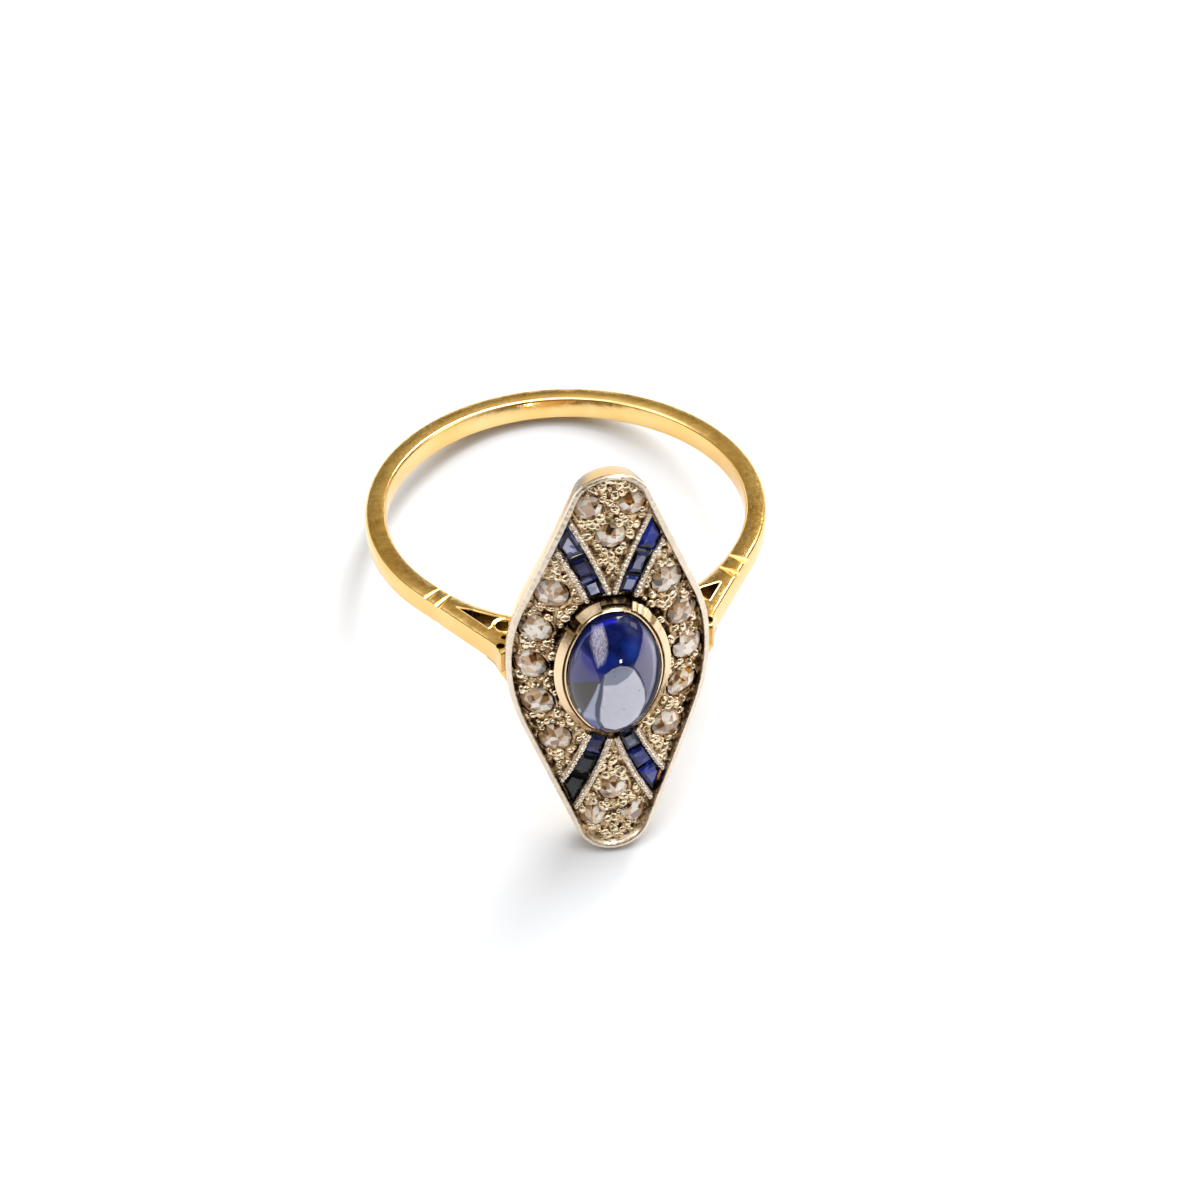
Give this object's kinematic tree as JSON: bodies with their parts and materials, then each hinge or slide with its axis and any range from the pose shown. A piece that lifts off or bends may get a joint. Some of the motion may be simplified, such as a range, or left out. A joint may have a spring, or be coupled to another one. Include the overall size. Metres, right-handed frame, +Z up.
{
  "type": "navette ring",
  "caption": "Slim gold finger ring with a long boat-shaped head: oval sapphire cabochon, calibre sapphires and old cut diamonds in a pierced plate.",
  "frame": {"origin": "on the surface that the ring lies on, under the middle of its box", "axes": "+Z up, the head faces -Y and up, +X across the finger to the right as seen from the front"},
  "size_m": [0.0192, 0.0244, 0.0199],
  "materials": {
    "yellow_gold": "polished, lightly worn",
    "white_metal": "satin, tarnished in the recesses",
    "cabochon_sapphire": "polished dome",
    "diamond": "faceted, warm tint",
    "calibre_sapphire": "step cut"
  },
  "bodies": {
    "root": {"gold_ring": "yellow_gold", "white_plate": "white_metal", "cabochon": "cabochon_sapphire", "diamond_01": "diamond", "diamond_02": "diamond", "diamond_03": "diamond", "diamond_04": "diamond", "diamond_05": "diamond", "diamond_06": "diamond", "diamond_07": "diamond", "diamond_08": "diamond", "diamond_09": "diamond", "diamond_10": "diamond", "diamond_11": "diamond", "diamond_12": "diamond", "diamond_13": "diamond", "diamond_14": "diamond", "diamond_15": "diamond", "diamond_16": "diamond", "sapphire_01": "calibre_sapphire", "sapphire_02": "calibre_sapphire", "sapphire_03": "calibre_sapphire", "sapphire_04": "calibre_sapphire", "sapphire_05": "calibre_sapphire", "sapphire_06": "calibre_sapphire", "sapphire_07": "calibre_sapphire", "sapphire_08": "calibre_sapphire", "sapphire_09": "calibre_sapphire", "sapphire_10": "calibre_sapphire", "sapphire_11": "calibre_sapphire", "sapphire_12": "calibre_sapphire"}
  },
  "joints": []
}
